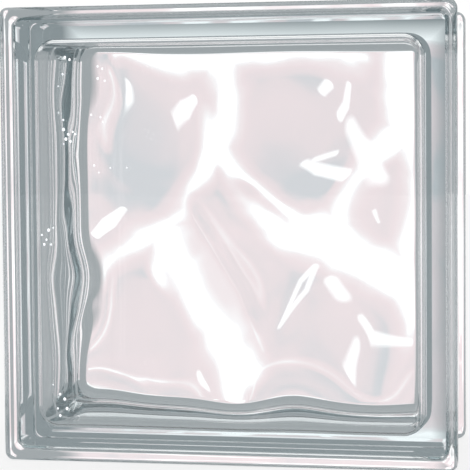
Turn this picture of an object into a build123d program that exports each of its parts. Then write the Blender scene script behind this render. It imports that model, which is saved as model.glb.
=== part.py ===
from build123d import *
import math
import os

# One hollow glass block, standing on its lower edge. Millimetres.
# X runs along the width, Y through the depth with the front face at -Y, Z up.
# The origin is the middle of the footprint, on the floor.

# Outside
block_width = 190.0
block_height = 190.0
block_depth = 80.0
outer_corner_radius = 4.5
face_edge_radius = 2.0

# Lips round both faces, and the mortar channel between them
lip_land = 9.0
channel_depth = 5.0
channel_corner_radius = 5.0
shoulder_root_radius = 2.5
shoulder_edge_radius = 1.2

# Bead where the two pressed halves are fused
seam_bead_width = 5.0
seam_bead_height = 1.2

# Sealed cavity, widest at the seam
face_wall = 8.0
side_wall = 7.0
cavity_corner_radius = 9.0
cavity_draft_deg = 2.0
cavity_floor_radius = 3.5

# Wave relief on the inside of both faces
fold_end = 14.0
grid_step = 4.0
surface_tolerance = 0.02
edge_tolerance = 0.01

# A fold is a bent line along which the glass steps up to its left: x, z, x, z and so on
# from the pane's centre, as shares of the cavity's half width and half height. After it
# come half the step's rise, its width and how far out it reaches.
front_folds = (
    ((0.01, 0.32, 0.12, 0.23, 0.30, 0.09, 0.42, -0.04), -0.12, 3.0, 6.0),
    ((-0.40, -0.10, -0.34, -0.23, -0.28, -0.34), 0.08, 2.5, 6.0),
)

# A swelling is round, or a hollow where its rise is below zero: x and z as shares,
# then its radius and its rise. The first six are the cushions of the wave pattern.
front_swellings = (
    (-0.44, 0.43, 17.0, 0.35),
    (0.30, 0.52, 18.0, 0.50),
    (0.07, -0.25, 13.0, 0.40),
    (0.54, -0.49, 17.0, 0.50),
    (-0.44, -0.48, 15.0, 0.30),
    (0.73, 0.15, 11.0, 0.30),
    (-0.79, 0.70, 9.0, 0.50),
    (-0.85, -0.21, 8.0, 1.50),
    (-0.84, -0.42, 9.0, 0.70),
    (-0.83, -0.64, 9.0, -0.40),
    (-0.63, -0.96, 12.0, 1.20),
    (0.05, -0.97, 11.0, -1.30),
    (0.33, -0.98, 10.0, 1.00),
    (0.74, -0.96, 13.0, -1.00),
    (-0.61, 0.98, 12.0, -0.90),
)
rear_swellings = (
    (-0.58, 0.53, 16.0, 0.50),
    (0.20, 0.58, 22.0, 0.40),
    (-0.70, -0.52, 18.0, 0.40),
)

# Worked out from the sizes above
half_depth = block_depth / 2
shoulder_y = half_depth - lip_land
centre_z = block_height / 2
channel_width = block_width - 2 * channel_depth
channel_height = block_height - 2 * channel_depth
cavity_width = channel_width - 2 * side_wall
cavity_height = channel_height - 2 * side_wall
cavity_half_depth = half_depth - face_wall
pane_half_width = cavity_width / 2
pane_half_height = cavity_height / 2


def upright(y):
    """A sketching plane across the depth at y, its normal towards the rear."""
    return Plane(origin=(0, y, centre_z), x_dir=(1, 0, 0), z_dir=(0, 1, 0))


def rounded_slab(width, height, radius, y_from, y_to):
    """A rounded rectangle carried from one depth to another."""
    outline = upright(y_from) * RectangleRounded(width, height, radius)
    return extrude(outline, amount=y_to - y_from)


def edges_at_depth(solid, y):
    """The edges that lie wholly at depth y."""
    found = ShapeList()
    for edge in solid.edges():
        box = edge.bounding_box()
        if abs(box.min.Y - y) < edge_tolerance and abs(box.max.Y - y) < edge_tolerance:
            found.append(edge)
    return found


def lip(side):
    """The plate with the full outline behind the face at side -1 or +1."""
    y_low, y_high = sorted((side * half_depth, side * shoulder_y))
    plate = rounded_slab(block_width, block_height, outer_corner_radius, y_low, y_high)
    plate = fillet(edges_at_depth(plate, side * half_depth), face_edge_radius)
    return fillet(edges_at_depth(plate, side * shoulder_y), shoulder_edge_radius)


def channel_root(body, side):
    """The edges where the channel floor meets the shoulder of one lip."""
    found = ShapeList()
    for edge in edges_at_depth(body, side * shoulder_y):
        middle = edge.position_at(0.5)
        inside_x = abs(middle.X) <= channel_width / 2 + edge_tolerance
        inside_z = abs(middle.Z - centre_z) <= channel_height / 2 + edge_tolerance
        if inside_x and inside_z:
            found.append(edge)
    return found


def seam_bead():
    """A low swelling of the fused glass round the middle of the channel floor."""
    outline = upright(0) * RectangleRounded(channel_width, channel_height, channel_corner_radius)
    start = Plane.XY.offset(centre_z) * Pos(channel_width / 2, 0)
    section = start * Ellipse(seam_bead_height, seam_bead_width / 2)
    return sweep(section, path=outline.face().outer_wire())


def outer_body():
    """Both lips, the channel floor between them and the seam bead."""
    inside_faces = half_depth - face_edge_radius
    body = rounded_slab(
        channel_width, channel_height, channel_corner_radius, -inside_faces, inside_faces)
    body = body + lip(-1) + lip(1)
    body = fillet(channel_root(body, -1) + channel_root(body, 1), shoulder_root_radius)
    return body + seam_bead()


def ease_in(value, full):
    """A smooth rise from 0 to 1 over a length."""
    share = min(1.0, max(0.0, value / full))
    return share * share * (3 - 2 * share)


def fold_height(x, z, shares, rise, width, reach):
    """Height that one fold gives a spot of the pane."""
    corners = []
    for share_x, share_z in zip(shares[0::2], shares[1::2]):
        corners.append((share_x * pane_half_width, share_z * pane_half_height))
    nearest = math.inf
    side = 1.0
    place = 0.0
    length = 0.0
    for (ax, az), (bx, bz) in zip(corners, corners[1:]):
        run = math.hypot(bx - ax, bz - az)
        run_x = (bx - ax) / run
        run_z = (bz - az) / run
        along = min(run, max(0.0, (x - ax) * run_x + (z - az) * run_z))
        off_x = x - ax - along * run_x
        off_z = z - az - along * run_z
        if math.hypot(off_x, off_z) < nearest:
            nearest = math.hypot(off_x, off_z)
            side = math.copysign(1.0, run_x * off_z - run_z * off_x)
            place = length + along
        length += run
    ends = ease_in(place, fold_end) * ease_in(length - place, fold_end)
    fade = math.exp(-(nearest / reach) ** 2 / 2)
    return rise * side * math.tanh(nearest / width) * fade * ends


def relief(x, z, folds, swellings):
    """Height of the wave above the pane's mean inner face."""
    height = 0.0
    for shares, rise, width, reach in folds:
        height += fold_height(x, z, shares, rise, width, reach)
    for share_x, share_z, radius, rise in swellings:
        away = math.hypot(x - share_x * pane_half_width, z - share_z * pane_half_height)
        height += rise * math.exp(-(away / radius) ** 2 / 2)
    return height


def pane_glass(side, folds, swellings):
    """The glass of one pane, waved on its inner side, to trim the cavity with."""
    count_x = 2 * math.ceil(pane_half_width / grid_step) + 2
    count_z = 2 * math.ceil(pane_half_height / grid_step) + 2
    rows = []
    for i in range(count_x + 1):
        x = (i - count_x / 2) * grid_step
        row = []
        for j in range(count_z + 1):
            z = (j - count_z / 2) * grid_step
            y = side * (cavity_half_depth - relief(x, z, folds, swellings))
            row.append(Vector(x, y, centre_z + z))
        rows.append(row)
    inner_side = Face.make_surface_from_array_of_points(rows, tol=surface_tolerance, min_deg=3)
    return Solid.extrude(inner_side, Vector(0, side * 2 * face_wall, 0))


def cavity_half(side, folds, swellings):
    """One half of the sealed cavity, from the seam to the waved pane."""
    outline = upright(0) * RectangleRounded(cavity_width, cavity_height, cavity_corner_radius)
    past_pane = cavity_half_depth + face_wall / 2
    half = extrude(outline, amount=side * past_pane, taper=cavity_draft_deg)
    half = half - pane_glass(side, folds, swellings)
    floor = half.faces().sort_by(Axis.Y)[0 if side < 0 else -1]
    return fillet(floor.edges(), cavity_floor_radius)


def glass_block():
    """The two pressed halves, fused at the seam into one piece of glass."""
    front_half = cavity_half(-1, front_folds, front_swellings)
    rear_half = cavity_half(1, (), rear_swellings)
    return outer_body() - (front_half + rear_half)


os.makedirs("parts", exist_ok=True)
block = glass_block()
export_step(block, "parts/glass_block.step")
print("glass volume", round(block.volume), "mm3")
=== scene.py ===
import bpy
import math
from mathutils import Matrix, Vector


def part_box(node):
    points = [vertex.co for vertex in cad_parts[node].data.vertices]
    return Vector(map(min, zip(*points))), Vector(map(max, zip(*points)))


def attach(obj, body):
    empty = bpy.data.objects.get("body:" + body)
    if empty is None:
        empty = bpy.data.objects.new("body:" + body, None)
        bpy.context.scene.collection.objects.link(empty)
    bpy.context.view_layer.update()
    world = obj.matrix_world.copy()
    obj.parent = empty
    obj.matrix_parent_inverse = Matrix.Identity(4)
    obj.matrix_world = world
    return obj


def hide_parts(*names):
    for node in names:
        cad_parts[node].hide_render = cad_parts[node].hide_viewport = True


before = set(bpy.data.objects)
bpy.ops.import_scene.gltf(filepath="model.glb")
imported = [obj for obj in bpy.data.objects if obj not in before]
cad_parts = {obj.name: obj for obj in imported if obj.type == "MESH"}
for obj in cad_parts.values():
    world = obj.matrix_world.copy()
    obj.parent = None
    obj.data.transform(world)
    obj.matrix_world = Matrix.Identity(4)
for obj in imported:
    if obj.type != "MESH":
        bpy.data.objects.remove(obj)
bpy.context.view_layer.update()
print("frame loaded")

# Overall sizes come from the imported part, metres
blockLow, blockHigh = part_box("glass_block")
blockWidth = blockHigh[0] - blockLow[0]
blockDepth = blockHigh[1] - blockLow[1]
blockHeight = blockHigh[2] - blockLow[2]
midZ = (blockHigh[2] + blockLow[2]) / 2
halfDepth = blockDepth / 2
tolerance = 1e-5


def clearPicks():
    if bpy.context.object and bpy.context.object.mode != 'OBJECT':
        bpy.ops.object.mode_set(mode='OBJECT')
    bpy.ops.object.select_all(action='DESELECT')


def work(obj):  # make obj the only picked object
    clearPicks()
    obj.select_set(True)
    bpy.context.view_layer.objects.active = obj


def editAll(kind):
    bpy.ops.object.mode_set(mode='EDIT')
    bpy.ops.mesh.select_mode(type=kind)
    bpy.ops.mesh.select_all(action='SELECT')


def addOutline(name, width, height, radius, steps, y):
    # upright rectangle with rounded corners, facing the front
    clearPicks()
    bpy.ops.mesh.primitive_plane_add(size=1, location=(0, y, midZ), rotation=(math.pi / 2, 0, 0))
    obj = bpy.context.object
    obj.name = name
    editAll('VERT')
    bpy.ops.transform.resize(value=(width, 1, height), center_override=(0, y, midZ))
    bpy.ops.mesh.bevel(offset=radius, segments=steps, affect='VERTICES')
    bpy.ops.mesh.select_all(action='SELECT')
    return obj


def narrowing(width, height, lastInset, inset):  # shares by which a ring shrinks across and up
    return ((width - 2 * inset) / (width - 2 * lastInset),
            (height - 2 * inset) / (height - 2 * lastInset))


def carryOutline(width, height, rings):
    # extrude the picked outline through rings of (depth, inset from the full outline)
    lastY, lastInset = rings[0]
    for y, inset in rings[1:]:
        bpy.ops.mesh.extrude_region_move(TRANSFORM_OT_translate={"value": (0, y - lastY, 0)})
        across, up = narrowing(width, height, lastInset, inset)
        bpy.ops.transform.resize(value=(across, 1, up), center_override=(0, y, midZ))
        lastY, lastInset = y, inset


def quarter(steps):  # angles of a quarter turn, both ends in
    return [math.pi / 2 * i / steps for i in range(steps + 1)]


# Outside of the block
outside = {
    "cornerRadius": 0.0045,
    "cornerSteps": 10,
    "faceEdge": 0.002,
    "lipLand": 0.009,
    "channelDepth": 0.005,
    "shoulderEdge": 0.0012,
    "shoulderRoot": 0.0025,
    "beadWidth": 0.005,
    "beadHeight": 0.0012,
    "arcSteps": 6,
    "faceRim": 0.0004,
    "smoothAngle": math.radians(40),
    "flatSides": 8,  # a face with more sides than this is one of the two flat outer faces
}


def outerRings():
    # half of the edge profile, from the front face to the seam, then mirrored
    turns = quarter(outside["arcSteps"])
    edge, corner, root = outside["faceEdge"], outside["shoulderEdge"], outside["shoulderRoot"]
    channel, bead = outside["channelDepth"], outside["beadHeight"]
    shoulder = -halfDepth + outside["lipLand"]
    rings = [(-halfDepth + edge * (1 - math.cos(a)), edge * (1 - math.sin(a))) for a in turns]
    rings += [(shoulder - corner * (1 - math.sin(a)), corner * (1 - math.cos(a))) for a in turns]
    rings += [(shoulder + root * (1 - math.cos(a)), channel - root * (1 - math.sin(a))) for a in turns]
    rings += [(-outside["beadWidth"] / 2 * math.cos(a), channel - bead * math.sin(a)) for a in turns]
    return rings + [(-y, inset) for y, inset in reversed(rings[:-1])]


def makeOutside():
    rings = outerRings()
    firstY, firstInset = rings[0]
    obj = addOutline("glassBlock", blockWidth - 2 * firstInset, blockHeight - 2 * firstInset,
                     outside["cornerRadius"] - firstInset / 2, outside["cornerSteps"], firstY)
    carryOutline(blockWidth, blockHeight, rings)
    bpy.ops.mesh.select_mode(type='FACE')
    for side in (-1, 1):  # a thin flat rim keeps each face's shading flat
        bpy.ops.mesh.select_all(action='DESELECT')
        bpy.ops.object.mode_set(mode='OBJECT')
        for p in obj.data.polygons:
            p.select = abs(p.center.y - side * halfDepth) < tolerance
        bpy.ops.object.mode_set(mode='EDIT')
        bpy.ops.mesh.inset(thickness=outside["faceRim"], depth=0)
    bpy.ops.mesh.select_all(action='SELECT')
    bpy.ops.mesh.normals_make_consistent(inside=False)
    bpy.ops.object.mode_set(mode='OBJECT')
    return obj


# Sealed cavity with the wave relief on both panes. A fold is a bent line where the glass steps
# up to its left: x, z, x, z and so on, as shares of the cavity's half width and half height,
# then half the step's rise, its width and its reach. A swelling is x, z, radius and rise
cavity = {
    "faceWall": 0.008,
    "sideWall": 0.007,
    "cornerRadius": 0.009,
    "draft": math.radians(2),
    "floorRadius": 0.0035,
    "floorSteps": 8,
    "gridLines": 160,
    "wallRings": 6,
    "pastRim": 0.002,
    "foldEnd": 0.014,
    "frontFolds": (
        ((0.01, 0.32, 0.12, 0.23, 0.30, 0.09, 0.42, -0.04), -0.00012, 0.0030, 0.006),
        ((-0.40, -0.10, -0.34, -0.23, -0.28, -0.34), 0.00008, 0.0025, 0.006),
        ((-0.82, 0.80, -0.84, 0.70, -0.83, 0.60, -0.80, 0.50, -0.79, 0.40, -0.80, 0.28, -0.83, 0.15,
          -0.85, 0.05, -0.86, -0.05), 0.00012, 0.0024, 0.005),
        ((-0.66, -0.25, -0.69, -0.34, -0.74, -0.42, -0.78, -0.50, -0.81, -0.60, -0.83, -0.74),
         0.00010, 0.0024, 0.005),
    ),
    "frontSwellings": (
        (-0.44, 0.43, 0.0170, 0.00035),
        (0.30, 0.52, 0.0180, 0.00050),
        (0.07, -0.25, 0.0130, 0.00040),
        (0.54, -0.49, 0.0170, 0.00050),
        (-0.44, -0.48, 0.0150, 0.00030),
        (0.73, 0.15, 0.0110, 0.00030),
        (-0.79, 0.70, 0.0090, 0.00050),
        (-0.85, -0.21, 0.0080, 0.00150),
        (-0.84, -0.42, 0.0090, 0.00070),
        (-0.83, -0.64, 0.0090, -0.00040),
        (-0.63, -0.96, 0.0120, 0.00120),
        (0.05, -0.97, 0.0110, -0.00130),
        (0.33, -0.98, 0.0100, 0.00100),
        (0.74, -0.96, 0.0130, -0.00100),
        (-0.61, 0.98, 0.0120, -0.00090),
    ),
    "rearFolds": (
        ((-0.38, 0.17, -0.22, -0.08, -0.05, -0.35, 0.05, -0.60), 0.00010, 0.0020, 0.005),
    ),
    "rearSwellings": (
        (-0.58, 0.53, 0.0160, 0.00050),
        (0.20, 0.58, 0.0220, 0.00040),
        (-0.70, -0.52, 0.0180, 0.00040),
    ),
}
cavityWidth = blockWidth - 2 * (outside["channelDepth"] + cavity["sideWall"])
cavityHeight = blockHeight - 2 * (outside["channelDepth"] + cavity["sideWall"])
cavityReach = halfDepth - cavity["faceWall"]
paneInset = cavityReach * math.tan(cavity["draft"])


def easeIn(value, full):
    share = min(1.0, max(0.0, value / full))
    return share * share * (3 - 2 * share)


def foldHeight(x, z, shares, rise, width, reach):
    # the step across the nearest run of the line, fading out beside it and at its ends
    points = [(u * cavityWidth / 2, v * cavityHeight / 2) for u, v in zip(shares[0::2], shares[1::2])]
    nearest, side, place, done = math.inf, 1.0, 0.0, 0.0
    for (ax, az), (bx, bz) in zip(points, points[1:]):
        length = math.hypot(bx - ax, bz - az)
        runX, runZ = (bx - ax) / length, (bz - az) / length
        along = min(length, max(0.0, (x - ax) * runX + (z - az) * runZ))
        offX, offZ = x - ax - along * runX, z - az - along * runZ
        if math.hypot(offX, offZ) < nearest:
            nearest = math.hypot(offX, offZ)
            side = math.copysign(1.0, runX * offZ - runZ * offX)
            place = done + along
        done += length
    ends = easeIn(place, cavity["foldEnd"]) * easeIn(done - place, cavity["foldEnd"])
    fade = math.exp(-(nearest / reach) ** 2 / 2)
    return rise * side * math.tanh(nearest / width) * fade * ends


def relief(x, z, folds, swellings):
    height = sum(foldHeight(x, z, *fold) for fold in folds)
    for u, v, radius, rise in swellings:
        away = math.hypot(x - u * cavityWidth / 2, z - v * cavityHeight / 2)
        height += rise * math.exp(-(away / radius) ** 2 / 2)
    return height


def gridPlaces(full):
    # distances across the pane: the lines crowd on the rounded rim, then run evenly
    r = cavity["floorRadius"]
    rim = [r * (1 - math.sin(a)) for a in reversed(quarter(cavity["floorSteps"]))]
    evenRun = cavity["gridLines"] - 2 * cavity["floorSteps"]
    inner = [r + (full - 2 * r) * i / evenRun for i in range(1, evenRun)]
    return rim + inner + [full - d for d in reversed(rim)]


def makePane(side, folds, swellings):
    width = cavityWidth - 2 * paneInset
    height = cavityHeight - 2 * paneInset
    n = cavity["gridLines"]
    clearPicks()
    bpy.ops.mesh.primitive_grid_add(x_subdivisions=n, y_subdivisions=n, size=1,
                                    location=(0, 0, midZ), rotation=(math.pi / 2, 0, 0))
    obj = bpy.context.object
    bpy.ops.object.transform_apply(location=True, rotation=True, scale=True)
    placesX, placesZ = gridPlaces(width), gridPlaces(height)
    corner, rim = cavity["cornerRadius"], cavity["floorRadius"]
    for v in obj.data.vertices:
        x = placesX[round((v.co.x + 0.5) * n)] - width / 2
        z = placesZ[round((v.co.z - midZ + 0.5) * n)] - height / 2
        overX, overZ = abs(x) - (width / 2 - corner), abs(z) - (height / 2 - corner)
        if overX > 0 and overZ > 0:  # round the corners of the grid
            pull = max(overX, overZ) / math.hypot(overX, overZ)
            x = math.copysign(width / 2 - corner + overX * pull, x)
            z = math.copysign(height / 2 - corner + overZ * pull, z)
            wallGap = corner - max(overX, overZ)
        else:
            wallGap = min(width / 2 - abs(x), height / 2 - abs(z))
        sweepIn = max(0.0, rim - wallGap)
        climb = rim - math.sqrt(max(0.0, rim ** 2 - sweepIn ** 2))
        y = side * (cavityReach - relief(x, z, folds, swellings) - climb)
        v.co = (x, y, midZ + z)
    return obj


def makeCavityHalf(side, folds, swellings):
    # the waved pane, with the drafted wall drawn from its rim to the seam
    obj = makePane(side, folds, swellings)
    work(obj)
    editAll('EDGE')
    bpy.ops.mesh.select_all(action='DESELECT')
    bpy.ops.mesh.select_non_manifold()
    wallStart = cavityReach - cavity["floorRadius"] - cavity["pastRim"]
    lastInset = paneInset
    for k in range(cavity["wallRings"] + 1):
        y = side * wallStart * (1 - k / cavity["wallRings"])
        inset = abs(y) * math.tan(cavity["draft"])
        bpy.ops.mesh.extrude_region_move(TRANSFORM_OT_translate={"value": (0, 0, 0)})
        across, up = narrowing(cavityWidth, cavityHeight, lastInset, inset)
        bpy.ops.transform.resize(value=(across, 0, up), center_override=(0, y, midZ))
        lastInset = inset
    bpy.ops.object.mode_set(mode='OBJECT')
    return obj


def makeCavity():
    front = makeCavityHalf(-1, cavity["frontFolds"], cavity["frontSwellings"])
    rear = makeCavityHalf(1, cavity["rearFolds"], cavity["rearSwellings"])
    work(front)
    rear.select_set(True)
    bpy.ops.object.join()
    editAll('VERT')
    bpy.ops.mesh.remove_doubles(threshold=tolerance)
    bpy.ops.mesh.normals_make_consistent(inside=True)
    bpy.ops.object.mode_set(mode='OBJECT')
    return front


# Small seeds in the front pane, drawn white and glowing as painted glints where lit air bubbles would
# catch light: place across, height and radius
seeds = {
    "depth": -0.036,
    "finish": 2,
    "scale": (1.0, 1.0, 1.2),
    "places": (
        (-0.067, 0.169, 0.0005), (-0.065, 0.168, 0.0005), (-0.068, 0.162, 0.0004), (-0.070, 0.157, 0.0003),
        (-0.068, 0.143, 0.0004), (-0.070, 0.146, 0.0003), (-0.068, 0.139, 0.0006), (-0.066, 0.137, 0.0005),
        (-0.064, 0.138, 0.0004), (-0.067, 0.135, 0.0006), (-0.065, 0.134, 0.0005), (-0.063, 0.137, 0.0004),
        (-0.068, 0.133, 0.0003), (-0.075, 0.097, 0.0006), (-0.078, 0.095, 0.0004), (-0.077, 0.091, 0.0005),
        (-0.076, 0.093, 0.0004), (-0.074, 0.091, 0.0004), (-0.073, 0.098, 0.0003), (-0.071, 0.028, 0.0005),
        (-0.069, 0.026, 0.0006), (-0.068, 0.022, 0.0006), (-0.072, 0.022, 0.0004), (-0.071, 0.019, 0.0005),
        (-0.074, 0.032, 0.0003), (-0.053, 0.165, 0.0004), (-0.051, 0.164, 0.0004), (-0.053, 0.160, 0.0005),
        (-0.050, 0.159, 0.0004), (-0.056, 0.145, 0.0004), (-0.052, 0.144, 0.0004), (-0.051, 0.142, 0.0003),
        (-0.055, 0.124, 0.0004), (-0.053, 0.121, 0.0003), (-0.048, 0.123, 0.0003), (-0.041, 0.123, 0.0003),
    ),
}


def makeSeeds():
    made = []
    for x, z, radius in seeds["places"]:
        clearPicks()
        bpy.ops.mesh.primitive_ico_sphere_add(subdivisions=seeds["finish"], radius=radius,
                                              location=(x, seeds["depth"], z), scale=seeds["scale"])
        made.append(bpy.context.object)
    return made


def makeBlock():
    body = makeOutside()
    hollow = makeCavity()
    air = makeSeeds()
    work(body)
    hollow.select_set(True)
    for seed in air:
        seed.select_set(True)
    glassFaces = len(body.data.polygons) + len(hollow.data.polygons)
    bpy.ops.object.join()
    bpy.ops.object.transform_apply(location=True, rotation=True, scale=True)
    bpy.ops.object.shade_smooth_by_angle(angle=outside["smoothAngle"])
    for p in body.data.polygons:
        if len(p.vertices) > outside["flatSides"]:  # the flat outer faces keep one true normal
            p.use_smooth = False
        p.material_index = 1 if p.index >= glassFaces else 0
    return body


block = makeBlock()
print("block modelled", len(block.data.polygons), "faces")


def newMaterial(name):
    mat = bpy.data.materials.new(name)
    mat.use_nodes = True
    return mat, mat.node_tree.nodes, mat.node_tree.links


# Clear glass: its tint deepens with the way through it, its surface has faint ream and haze
glassLook = {
    "colour": (1, 1, 1, 1),
    "bend": 1.52,
    "depthTint": (0.50, 0.61, 0.63, 1),
    "depthDensity": 10.0,
    "reamScale": 22.0,
    "reamDetail": 1.0,
    "reamStrength": 1.0,
    "reamHeight": 0.00006,
    "hazeScale": 60.0,
    "hazeFrom": (0.45, 0.75),
    "haze": 0.015,
}


def makeGlass():
    mat, nodes, links = newMaterial("pressedGlass")
    shader = nodes["Principled BSDF"]
    shader.inputs["Base Color"].default_value = glassLook["colour"]
    shader.inputs["IOR"].default_value = glassLook["bend"]
    shader.inputs["Transmission Weight"].default_value = 1.0
    coords = nodes.new("ShaderNodeTexCoord")
    ream = nodes.new("ShaderNodeTexNoise")
    ream.inputs["Scale"].default_value = glassLook["reamScale"]
    ream.inputs["Detail"].default_value = glassLook["reamDetail"]
    links.new(coords.outputs["Object"], ream.inputs["Vector"])
    bump = nodes.new("ShaderNodeBump")
    bump.inputs["Strength"].default_value = glassLook["reamStrength"]
    bump.inputs["Distance"].default_value = glassLook["reamHeight"]
    links.new(ream.outputs["Fac"], bump.inputs["Height"])
    links.new(bump.outputs["Normal"], shader.inputs["Normal"])
    haze = nodes.new("ShaderNodeTexNoise")
    haze.inputs["Scale"].default_value = glassLook["hazeScale"]
    links.new(coords.outputs["Object"], haze.inputs["Vector"])
    spread = nodes.new("ShaderNodeMapRange")
    hazeLow, hazeHigh = glassLook["hazeFrom"]
    spread.inputs["From Min"].default_value = hazeLow
    spread.inputs["From Max"].default_value = hazeHigh
    spread.inputs["To Max"].default_value = glassLook["haze"]
    links.new(haze.outputs["Fac"], spread.inputs["Value"])
    links.new(spread.outputs["Result"], shader.inputs["Roughness"])
    tint = nodes.new("ShaderNodeVolumeAbsorption")
    tint.inputs["Color"].default_value = glassLook["depthTint"]
    tint.inputs["Density"].default_value = glassLook["depthDensity"]
    links.new(tint.outputs["Volume"], nodes["Material Output"].inputs["Volume"])
    return mat


# The seeds' look is a painted glint: opaque white with its own glow, though no lamp lights it
seedGlintLook = {"colour": (0.97, 0.98, 1.0, 1), "roughness": 0.2, "paintedGlow": 1.1}


def makeSeedPaintedGlint():
    mat, nodes, _ = newMaterial("trappedAirPaintedGlint")
    shader = nodes["Principled BSDF"]
    shader.inputs["Base Color"].default_value = seedGlintLook["colour"]
    shader.inputs["Roughness"].default_value = seedGlintLook["roughness"]
    shader.inputs["Emission Color"].default_value = seedGlintLook["colour"]
    shader.inputs["Emission Strength"].default_value = seedGlintLook["paintedGlow"]
    return mat


block.data.materials.append(makeGlass())
block.data.materials.append(makeSeedPaintedGlint())
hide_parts("glass_block")
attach(block, "root")
print("materials on")

# Floor: rays through the glass pass it, and the camera sees it nearly white with its shadow
floorLook = {"size": 6.0, "colour": (0.93, 0.93, 0.93, 1), "roughness": 0.6, "whiteShare": 0.8}


def makeFloor():
    clearPicks()
    bpy.ops.mesh.primitive_plane_add(size=floorLook["size"], location=(0, 0, 0))
    floor = bpy.context.object
    floor.name = "floor"
    mat, nodes, links = newMaterial("paleFloor")
    shader = nodes["Principled BSDF"]
    shader.inputs["Base Color"].default_value = floorLook["colour"]
    shader.inputs["Roughness"].default_value = floorLook["roughness"]
    lightPath = nodes.new("ShaderNodeLightPath")
    share = nodes.new("ShaderNodeMath")
    share.operation = 'MULTIPLY'
    share.inputs[1].default_value = floorLook["whiteShare"]
    links.new(lightPath.outputs["Is Camera Ray"], share.inputs[0])
    white = nodes.new("ShaderNodeEmission")
    bright = nodes.new("ShaderNodeMixShader")
    links.new(share.outputs[0], bright.inputs[0])
    links.new(shader.outputs[0], bright.inputs[1])
    links.new(white.outputs[0], bright.inputs[2])
    clear = nodes.new("ShaderNodeBsdfTransparent")
    mix = nodes.new("ShaderNodeMixShader")
    links.new(lightPath.outputs["Is Transmission Ray"], mix.inputs[0])
    links.new(bright.outputs[0], mix.inputs[1])
    links.new(clear.outputs[0], mix.inputs[2])
    links.new(mix.outputs[0], nodes["Material Output"].inputs["Surface"])
    floor.data.materials.append(mat)


makeFloor()
print("floor laid")

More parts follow.
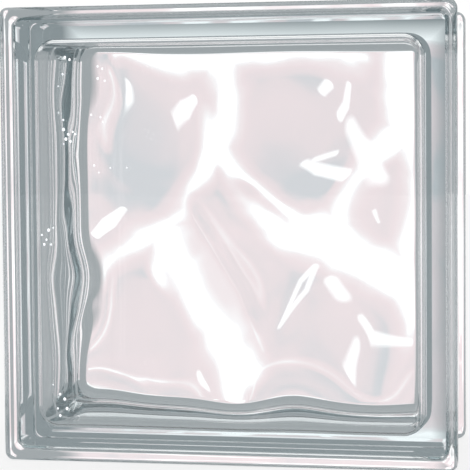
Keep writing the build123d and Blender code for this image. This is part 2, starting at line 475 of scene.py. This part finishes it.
# Studio surround: a pale panel with white bars and glints stands behind the block and is repeated
# round it, with grey beyond and white overhead. Angles are in degrees. A bar or glint is its
# fringe and start on the ramp, then spots as turn, rise and half width
skyLook = {
    "seen": (1, 1, 1, 1),
    "repeats": 8,
    "panelMiddle": (-10.3, -3.7),
    "panelHalf": (6.4, 7.3),
    "panelCap": 0.80,
    "mottleScale": 26.0,
    "mottle": 1.3,
    "ramp": (
        (0.0, (1.4, 1.4, 1.4, 1)),
        (0.10, (1.16, 1.13, 1.14, 1)),
        (0.25, (1.06, 0.96, 0.975, 1)),
        (0.50, (1.01, 0.875, 0.895, 1)),
        (0.80, (0.945, 0.845, 0.865, 1)),
        (1.0, (0.76, 0.77, 0.80, 1)),
    ),
    "beyond": (0.37, 0.40, 0.415, 1),
    "beyondOver": 0.8,
    "above": (1.15, 1.15, 1.15, 1),
    "aboveFrom": 35.0,
    "aboveOver": 10.0,
    "bars": (
        (1.1, 0.0, ((-14.8, 1.8, 0.05), (-12.8, 2.7, 0.15), (-10.9, 2.7, 0.35), (-9.3, 2.5, 0.15),
                    (-6.5, 2.8, 0.12))),
        (1.1, 0.0, ((-11.3, 2.3, 0.50), (-11.0, 1.3, 0.28), (-11.0, 0.5, 0.20), (-11.9, -0.2, 0.45),
                    (-13.1, -1.5, 0.10), (-13.6, -2.8, 0.10), (-14.2, -3.3, 0.18), (-15.1, -4.3, 0.16),
                    (-16.7, -5.5, 0.05))),
        (1.1, 0.0, ((-13.8, -3.6, 0.36), (-13.5, -4.8, 0.68), (-12.1, -6.5, 0.70), (-11.2, -7.8, 0.62),
                    (-10.4, -8.5, 0.40))),
        (1.1, 0.0, ((-11.4, -0.4, 0.34), (-10.3, -1.3, 0.36), (-8.8, -3.5, 0.90), (-7.5, -3.9, 1.00),
                    (-6.4, -4.7, 0.86), (-5.2, -5.4, 0.95), (-4.8, -6.7, 0.45))),
        (1.1, 0.0, ((-5.2, 3.4, 0.58), (-5.0, 1.0, 0.52), (-4.8, -0.5, 0.25), (-5.0, -7.2, 0.15))),
        (1.1, 0.0, ((-6.9, -2.5, 0.15), (-6.7, -1.8, 0.15), (-6.3, -0.8, 0.30), (-5.2, 0.0, 0.34))),
        (0.5, 0.32, ((-12.7, -2.4, 0.04), (-11.3, -5.0, 0.03), (-10.7, -6.2, 0.03), (-9.9, -7.6, 0.03))),
        (0.4, 0.25, ((-9.9, -8.2, 0.03), (-8.8, -8.1, 0.03), (-7.8, -8.0, 0.02), (-4.6, -8.3, 0.02))),
        (0.4, 0.25, ((-15.5, -9.0, 0.10), (-15.1, -8.7, 0.04), (-13.0, -8.6, 0.02))),
        (0.5, 0.30, ((-15.6, 0.6, 0.15), (-15.1, 0.1, 0.11))),
        (0.5, 0.30, ((-15.9, -5.8, 0.10), (-15.9, -6.7, 0.12))),
    ),
    "glints": (
        (0.30, 0.0, ((-7.5, 0.4, 0.08), (-6.7, -0.6, 0.18), (-6.1, -1.8, 0.07))),
        (0.10, 0.0, ((-16.5, -3.8, 0.13), (-15.8, -3.0, 0.22), (-15.2, -2.2, 0.06))),
        (0.10, 0.0, ((-14.0, 0.3, 0.02), (-13.5, 0.6, 0.14), (-12.9, 1.0, 0.10))),
        (0.10, 0.0, ((-14.5, 0.6, 0.03), (-14.6, 0.3, 0.06))),
        (0.10, 0.0, ((-8.5, 1.2, 0.05), (-8.2, 1.5, 0.09))),
        (0.10, 0.0, ((-7.4, 1.7, 0.03), (-7.7, 1.0, 0.08), (-8.0, 0.7, 0.09))),
        (0.10, 0.0, ((-8.9, -0.2, 0.03), (-8.4, -0.6, 0.10), (-7.2, -1.3, 0.11))),
        (0.10, 0.0, ((-8.7, -0.2, 0.01), (-8.0, -0.3, 0.02))),
        (0.10, 0.0, ((-6.9, -7.0, 0.05), (-6.6, -7.3, 0.05), (-4.9, -7.5, 0.04))),
        (0.10, 0.0, ((-7.1, -7.4, 0.03), (-7.4, -7.7, 0.05))),
        (0.10, 0.0, ((-13.0, -8.3, 0.05), (-13.2, -8.8, 0.02))),
        (0.20, 0.0, ((-7.6, -5.8, 0.12), (-7.3, -6.4, 0.08))),
        (0.12, 0.0, ((-8.2, -5.1, 0.06), (-8.8, -5.7, 0.04), (-9.3, -6.8, 0.03), (-8.5, -6.1, 0.04),
                     (-8.2, -5.1, 0.04))),
        (0.03, 0.0, ((-6.1, -2.5, 0.0), (-6.0, -2.75, 0.0))),
    ),
}


def makeSky():
    world = bpy.data.worlds.new("studioSky")
    bpy.context.scene.world = world
    world.use_nodes = True
    nodes, links = world.node_tree.nodes, world.node_tree.links

    def feed(node, values):
        for socket, value in zip(node.inputs, values):
            if isinstance(value, bpy.types.NodeSocket):
                links.new(value, socket)
            elif value is not None:
                socket.default_value = value

    def reckon(kind, a, b=None, c=None, clamp=False):
        node = nodes.new("ShaderNodeMath")
        node.operation = kind
        node.use_clamp = clamp
        feed(node, (a, b, c))
        return node.outputs[0]

    def steer(kind, a, b=None):
        node = nodes.new("ShaderNodeVectorMath")
        node.operation = kind
        feed(node, (a, b))
        return node.outputs["Value" if kind in ('LENGTH', 'DOT_PRODUCT') else "Vector"]

    # turn from the middle of the nearest repeat, and rise, in degrees
    coords = nodes.new("ShaderNodeTexCoord")
    split = nodes.new("ShaderNodeSeparateXYZ")
    links.new(coords.outputs["Generated"], split.inputs[0])
    degrees = 180 / math.pi
    width = 360 / skyLook["repeats"]
    middleTurn, middleRise = skyLook["panelMiddle"]
    turn = reckon('ARCTAN2', split.outputs[0], split.outputs[1])
    turn = reckon('MULTIPLY_ADD', turn, degrees / width, 0.5 - middleTurn / width)
    turn = reckon('SUBTRACT', reckon('FRACT', turn), 0.5)
    turn = reckon('MULTIPLY', turn, width)
    rise = reckon('MULTIPLY', reckon('ARCSINE', split.outputs[2]), degrees)

    # how far a direction lies outside the panel
    halfTurn, halfRise = skyLook["panelHalf"]
    off = reckon('SUBTRACT', reckon('ABSOLUTE', reckon('SUBTRACT', rise, middleRise)), halfRise)
    aside = reckon('SUBTRACT', reckon('ABSOLUTE', turn), halfTurn)
    beyond = reckon('DIVIDE', reckon('MAXIMUM', aside, off), skyLook["beyondOver"], clamp=True)

    # how far it lies from the nearest bar or glint
    join = nodes.new("ShaderNodeCombineXYZ")
    links.new(reckon('ADD', turn, middleTurn), join.inputs[0])
    links.new(rise, join.inputs[1])

    def nearestOf(strokes, mark):
        for fringe, start, spots in strokes:
            for (ax, ay, ar), (bx, by, br) in zip(spots, spots[1:]):
                runX, runY = bx - ax, by - ay
                full = runX ** 2 + runY ** 2
                gap = steer('SUBTRACT', join.outputs[0], (ax, ay, 0))
                along = steer('DOT_PRODUCT', gap, (runX / full, runY / full, 0))
                along = reckon('ADD', along, 0.0, clamp=True)
                foot = nodes.new("ShaderNodeVectorMath")
                foot.operation = 'SCALE'
                foot.inputs[0].default_value = (runX, runY, 0)
                links.new(along, foot.inputs["Scale"])
                away = steer('LENGTH', steer('SUBTRACT', gap, foot.outputs[0]))
                away = reckon('MULTIPLY_ADD', along, ar - br, away)
                away = reckon('MULTIPLY_ADD', away, 1 / fringe, start - ar / fringe)
                mark = reckon('MINIMUM', mark, away)
        return mark

    glint = nearestOf(skyLook["glints"], reckon('MAXIMUM', off, 1.0))
    glint = reckon('SUBTRACT', 1.0, glint, clamp=True)
    mark = nearestOf(skyLook["bars"], reckon('MULTIPLY', off, -1.0))
    mark = reckon('MINIMUM', mark, skyLook["panelCap"])
    mottle = nodes.new("ShaderNodeTexNoise")
    mottle.inputs["Scale"].default_value = skyLook["mottleScale"]
    links.new(coords.outputs["Generated"], mottle.inputs["Vector"])
    mark = reckon('SUBTRACT', mark, skyLook["mottle"] / 2)
    mark = reckon('MULTIPLY_ADD', mottle.outputs[0], skyLook["mottle"], mark)
    ramp = nodes.new("ShaderNodeValToRGB")
    stops = ramp.color_ramp.elements
    while len(stops) < len(skyLook["ramp"]):
        stops.new(0.5)
    for stop, (place, colour) in zip(stops, skyLook["ramp"]):
        stop.position = place
        stop.color = colour
    links.new(mark, ramp.inputs[0])

    # the plain surround turns from grey to white overhead
    high = reckon('SUBTRACT', rise, skyLook["aboveFrom"])
    high = reckon('DIVIDE', high, skyLook["aboveOver"], clamp=True)
    plain = nodes.new("ShaderNodeMix")
    plain.data_type = 'RGBA'
    links.new(high, plain.inputs["Factor"])
    plain.inputs[6].default_value = skyLook["beyond"]  # colour A
    plain.inputs[7].default_value = skyLook["above"]  # colour B

    panelLight = nodes["Background"]
    links.new(ramp.outputs["Color"], panelLight.inputs["Color"])
    glintLight = nodes.new("ShaderNodeBackground")
    glintLight.inputs["Color"].default_value = skyLook["ramp"][0][1]
    roundLight = nodes.new("ShaderNodeBackground")
    links.new(plain.outputs[2], roundLight.inputs["Color"])
    seenLight = nodes.new("ShaderNodeBackground")
    seenLight.inputs["Color"].default_value = skyLook["seen"]
    lightPath = nodes.new("ShaderNodeLightPath")
    cameraRay = lightPath.outputs["Is Camera Ray"]
    last = panelLight
    for share, other in ((glint, glintLight), (beyond, roundLight), (cameraRay, seenLight)):
        mix = nodes.new("ShaderNodeMixShader")
        links.new(share, mix.inputs[0])
        links.new(last.outputs[0], mix.inputs[1])
        links.new(other.outputs[0], mix.inputs[2])
        last = mix
    links.new(last.outputs[0], nodes["World Output"].inputs["Surface"])


makeSky()
print("surround set")

# Camera, its turns in degrees
cameraLook = {
    "place": (0.12621, -0.65264, 0.13467),
    "yaw": 9.692,
    "pitch": -2.484,
    "roll": 0.41,
    "lens": 117.38,
    "sensor": 36,
    "shift": (-0.085, -0.064),
    "clip": (0.01, 50),
}


def makeCamera():
    clearPicks()
    bpy.ops.object.camera_add()
    cam = bpy.context.object
    turn = Matrix.Rotation(math.radians(cameraLook["yaw"]), 4, 'Z')
    turn = turn @ Matrix.Rotation(math.radians(cameraLook["pitch"]), 4, 'X')
    turn = turn @ Matrix.Rotation(math.radians(cameraLook["roll"]), 4, 'Y')
    turn = turn @ Matrix.Rotation(math.pi / 2, 4, 'X')
    cam.matrix_world = Matrix.Translation(Vector(cameraLook["place"])) @ turn
    cam.data.lens = cameraLook["lens"]
    cam.data.sensor_width = cameraLook["sensor"]
    cam.data.shift_x, cam.data.shift_y = cameraLook["shift"]
    cam.data.clip_start, cam.data.clip_end = cameraLook["clip"]
    bpy.context.scene.camera = cam


makeCamera()
bpy.context.scene.view_settings.view_transform = 'Standard'
# light runs many times through the thick edges before it leaves them
lightRuns = 32
cycles = bpy.context.scene.cycles
cycles.max_bounces = lightRuns
cycles.transmission_bounces = lightRuns
cycles.glossy_bounces = lightRuns

print("camera and light set")
